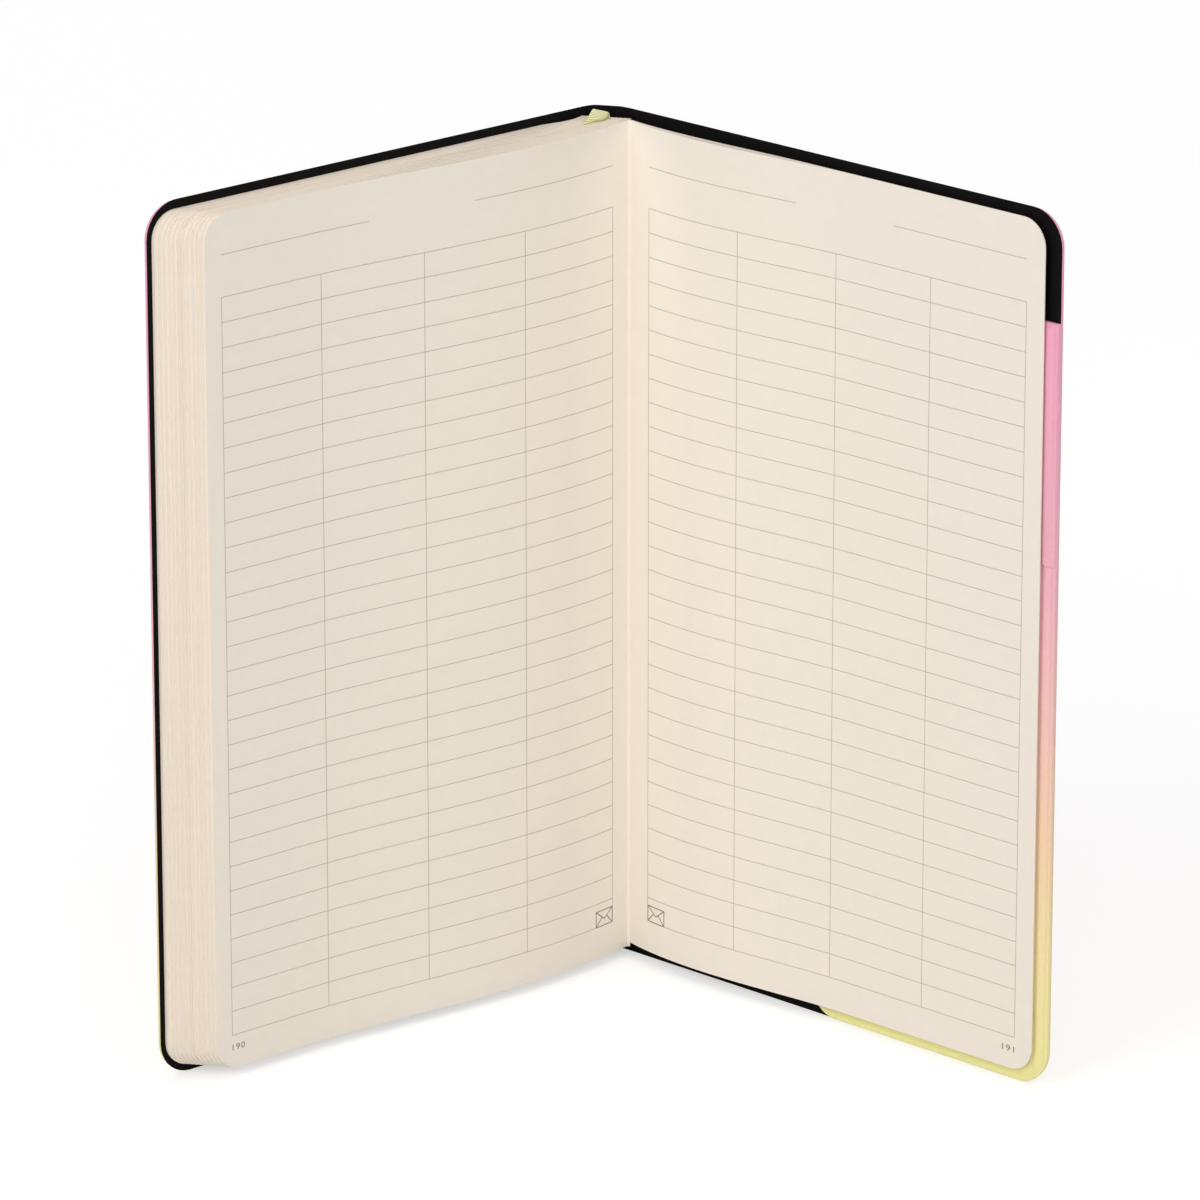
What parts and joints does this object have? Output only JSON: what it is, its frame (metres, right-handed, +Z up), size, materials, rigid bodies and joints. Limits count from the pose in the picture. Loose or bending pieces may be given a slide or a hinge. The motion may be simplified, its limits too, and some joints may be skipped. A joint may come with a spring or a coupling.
{
  "type": "blank notebook",
  "caption": "Soft-cover sewn notebook with rounded corners, ribbon marker, inside back pocket and pen loop, standing open near its last page.",
  "frame": {"origin": "foot of the spine, in the middle of the spine skin's thickness, on the surface that the notebook stands on", "axes": "+Z up along the spine, +Y away from the reader, +X to the reader's right; the back cover is at +X and the front cover at -X"},
  "size_m": [0.208, 0.0945, 0.21],
  "materials": {
    "leatherette": "satin",
    "pocket_leatherette": "satin",
    "board": "matte",
    "lining": "matte",
    "page_paper": "matte",
    "gauze": "matte",
    "binding_glue": "satin",
    "sewing_thread": "matte",
    "ribbon": "satin"
  },
  "bodies": {
    "spine": {"spine_skin": "leatherette", "front_joint_skin": "leatherette", "back_joint_skin": "leatherette", "spine_stiffener": "board", "spine_lining": "lining", "spine_glue": "binding_glue", "spine_gauze": "gauze", "sewing_thread_1": "sewing_thread", "sewing_thread_2": "sewing_thread", "sewing_thread_3": "sewing_thread", "sewing_thread_4": "sewing_thread", "sewing_thread_5": "sewing_thread", "ribbon_head": "ribbon"},
    "front_cover": {"front_cover_skin": "leatherette", "front_cover_board": "board", "front_cover_lining": "lining"},
    "back_cover": {"back_cover_skin": "leatherette", "back_cover_board": "board", "back_cover_lining": "lining", "pocket_panel": "pocket_leatherette", "pen_loop": "pocket_leatherette"},
    "leaves_01": {"signature_01": "page_paper"},
    "leaves_02": {"signature_02": "page_paper"},
    "leaves_03": {"signature_03": "page_paper"},
    "leaves_04": {"signature_04": "page_paper"},
    "leaves_05": {"signature_05": "page_paper"},
    "leaves_06": {"signature_06": "page_paper"},
    "leaves_07": {"signature_07": "page_paper", "ribbon_tail": "ribbon"},
    "leaves_08": {"signature_08": "page_paper"},
    "leaves_09": {"signature_09": "page_paper"},
    "leaves_10": {"signature_10": "page_paper"},
    "leaves_11": {"signature_11": "page_paper"},
    "leaves_12": {"signature_12": "page_paper"},
    "leaves_13": {"back_flyleaf": "page_paper", "last_leaf": "page_paper"}
  },
  "joints": [
    {"name": "front_hinge", "type": "hinge", "parent": "spine", "child": "front_cover", "pos_m": [-0.00637, -0.00135, 0], "axis": [0, 0, 1], "range_deg": [-28, 36], "deforming": ["front_joint_skin"]},
    {"name": "back_hinge", "type": "hinge", "parent": "spine", "child": "back_cover", "pos_m": [0.00673, -0.00438, 0], "axis": [0, 0, 1], "range_deg": [-60, 30], "deforming": ["back_joint_skin"]},
    {"name": "fold_01", "type": "hinge", "parent": "spine", "child": "leaves_01", "pos_m": [-0.00601, -0.00159, 0], "axis": [0, 0, 1], "range_deg": [-28, 36]},
    {"name": "fold_02", "type": "hinge", "parent": "spine", "child": "leaves_02", "pos_m": [-0.00504, -0.00181, 0], "axis": [0, 0, 1], "range_deg": [-28, 36]},
    {"name": "fold_03", "type": "hinge", "parent": "spine", "child": "leaves_03", "pos_m": [-0.00406, -0.00204, 0], "axis": [0, 0, 1], "range_deg": [-28, 36]},
    {"name": "fold_04", "type": "hinge", "parent": "spine", "child": "leaves_04", "pos_m": [-0.00309, -0.00226, 0], "axis": [0, 0, 1], "range_deg": [-28, 36]},
    {"name": "fold_05", "type": "hinge", "parent": "spine", "child": "leaves_05", "pos_m": [-0.00211, -0.00249, 0], "axis": [0, 0, 1], "range_deg": [-28, 36]},
    {"name": "fold_06", "type": "hinge", "parent": "spine", "child": "leaves_06", "pos_m": [-0.00114, -0.00271, 0], "axis": [0, 0, 1], "range_deg": [-28, 36]},
    {"name": "fold_07", "type": "hinge", "parent": "spine", "child": "leaves_07", "pos_m": [-0.00016, -0.00294, 0], "axis": [0, 0, 1], "range_deg": [-28, 36]},
    {"name": "fold_08", "type": "hinge", "parent": "spine", "child": "leaves_08", "pos_m": [0.00081, -0.00316, 0], "axis": [0, 0, 1], "range_deg": [-28, 36]},
    {"name": "fold_09", "type": "hinge", "parent": "spine", "child": "leaves_09", "pos_m": [0.00178, -0.00339, 0], "axis": [0, 0, 1], "range_deg": [-28, 36]},
    {"name": "fold_10", "type": "hinge", "parent": "spine", "child": "leaves_10", "pos_m": [0.00276, -0.00361, 0], "axis": [0, 0, 1], "range_deg": [-28, 36]},
    {"name": "fold_11", "type": "hinge", "parent": "spine", "child": "leaves_11", "pos_m": [0.00373, -0.00384, 0], "axis": [0, 0, 1], "range_deg": [-28, 36]},
    {"name": "fold_12", "type": "hinge", "parent": "spine", "child": "leaves_12", "pos_m": [0.00471, -0.00406, 0], "axis": [0, 0, 1], "range_deg": [-28, 36]},
    {"name": "fold_13", "type": "hinge", "parent": "spine", "child": "leaves_13", "pos_m": [0.00517, -0.00535, 0], "axis": [0, 0, 1], "range_deg": [-60, 30]}
  ],
  "couplings": [
    {"joint": "fold_01", "follows": "front_hinge", "ratio": 1},
    {"joint": "fold_02", "follows": "front_hinge", "ratio": 1},
    {"joint": "fold_03", "follows": "front_hinge", "ratio": 1},
    {"joint": "fold_04", "follows": "front_hinge", "ratio": 1},
    {"joint": "fold_05", "follows": "front_hinge", "ratio": 1},
    {"joint": "fold_06", "follows": "front_hinge", "ratio": 1},
    {"joint": "fold_07", "follows": "front_hinge", "ratio": 1},
    {"joint": "fold_08", "follows": "front_hinge", "ratio": 1},
    {"joint": "fold_09", "follows": "front_hinge", "ratio": 1},
    {"joint": "fold_10", "follows": "front_hinge", "ratio": 1},
    {"joint": "fold_11", "follows": "front_hinge", "ratio": 1},
    {"joint": "fold_12", "follows": "front_hinge", "ratio": 1},
    {"joint": "fold_13", "follows": "back_hinge", "ratio": 1}
  ]
}
